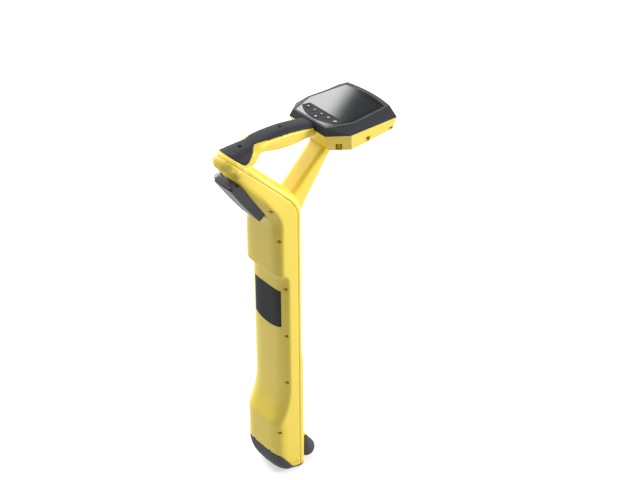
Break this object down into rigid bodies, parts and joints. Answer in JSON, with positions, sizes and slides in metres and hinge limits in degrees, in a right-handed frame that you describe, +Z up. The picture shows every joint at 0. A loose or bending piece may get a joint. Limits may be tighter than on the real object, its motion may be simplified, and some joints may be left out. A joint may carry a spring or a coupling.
{
  "type": "cable locator",
  "caption": "Hand-held cable-locator receiver: upright antenna wand on a rubber boot, leaning neck with a battery door, closed hand loop and upward-facing display head.",
  "frame": {"origin": "on the flat sole under the foot, in the middle plane", "axes": "+Z up along the wand, +Y away from the person who carries it, +X to their right"},
  "size_m": [0.1428, 0.316, 0.6875],
  "materials": {
    "yellow_shell": "satin moulded ABS blend, fine even grain",
    "soft_grip": "matt soft-touch overmould",
    "boot_rubber": "matt moulded wear rubber",
    "dark_plastic": "satin moulded dark grey",
    "key_rubber": "satin moulded key tops",
    "black_glass": "polished, black printed behind",
    "label_film": "printed film, bare",
    "screw_steel": "dark zinc plated",
    "seal_rubber": "soft black",
    "black_plastic": "matt moulded",
    "circuit_board": "glass-fibre laminate with solder mask",
    "lcd_glass": "display module in its frame",
    "pack_wrap": "shrink wrapped cells",
    "contact_brass": "plated spring strip",
    "ferrite": "sintered, matt",
    "coil_wire": "enamelled copper winding"
  },
  "bodies": {
    "housing": {"rear_shell": "yellow_shell", "front_shell": "yellow_shell", "display_base": "yellow_shell", "handle_grip": "soft_grip", "foot_boot": "boot_rubber", "front_bumper": "boot_rubber", "display_bezel": "dark_plastic", "keypad_panel": "dark_plastic", "display_glass": "black_glass", "rating_label": "label_film", "grip_screws": "screw_steel", "shell_screws": "screw_steel", "display_screws": "screw_steel", "bumper_bolts": "screw_steel", "door_hinge_pin": "screw_steel", "display_gasket": "seal_rubber", "door_seal": "seal_rubber", "main_harness": "seal_rubber", "loudspeaker": "black_plastic", "accessory_socket": "black_plastic", "battery_tray": "black_plastic", "main_board": "circuit_board", "keypad_board": "circuit_board", "antenna_mast": "circuit_board", "lcd_module": "lcd_glass", "battery_pack": "pack_wrap", "battery_contacts": "contact_brass", "lower_ferrite": "ferrite", "upper_ferrite": "ferrite", "upright_ferrite": "ferrite", "lower_coil": "coil_wire", "upper_coil": "coil_wire", "upright_coil": "coil_wire"},
    "door": {"battery_door": "dark_plastic", "latch_pin": "screw_steel"},
    "latch": {"door_latch": "dark_plastic", "latch_spring": "screw_steel"},
    "power": {"power_key": "key_rubber"},
    "back": {"back_key": "key_rubber"},
    "up": {"up_key": "key_rubber"},
    "menu": {"menu_key": "key_rubber"},
    "sound": {"sound_key": "key_rubber"},
    "select": {"select_key": "key_rubber"}
  },
  "joints": [
    {"name": "door_hinge", "type": "hinge", "parent": "housing", "child": "door", "pos_m": [0, -0.05108, 0.55146], "axis": [1, 0, 0], "range_deg": [0, 110], "deforming": ["latch_spring"]},
    {"name": "latch_turn", "type": "hinge", "parent": "door", "child": "latch", "pos_m": [0, -0.10373, 0.63006], "axis": [1, 0, 0], "range_deg": [0, 24], "stiffness_Nm_per_rad": 0.05, "deforming": ["latch_spring"]},
    {"name": "power_press", "type": "slide", "parent": "housing", "child": "power", "axis": [0, 0, -1], "range_m": [0, 0.0006], "stiffness_N_per_m": 3000},
    {"name": "back_press", "type": "slide", "parent": "housing", "child": "back", "axis": [0, 0, -1], "range_m": [0, 0.0006], "stiffness_N_per_m": 3000},
    {"name": "up_press", "type": "slide", "parent": "housing", "child": "up", "axis": [0, 0, -1], "range_m": [0, 0.0006], "stiffness_N_per_m": 3000},
    {"name": "menu_press", "type": "slide", "parent": "housing", "child": "menu", "axis": [0, 0, -1], "range_m": [0, 0.0006], "stiffness_N_per_m": 3000},
    {"name": "sound_press", "type": "slide", "parent": "housing", "child": "sound", "axis": [0, 0, -1], "range_m": [0, 0.0006], "stiffness_N_per_m": 3000},
    {"name": "select_press", "type": "slide", "parent": "housing", "child": "select", "axis": [0, 0, -1], "range_m": [0, 0.0006], "stiffness_N_per_m": 3000}
  ]
}
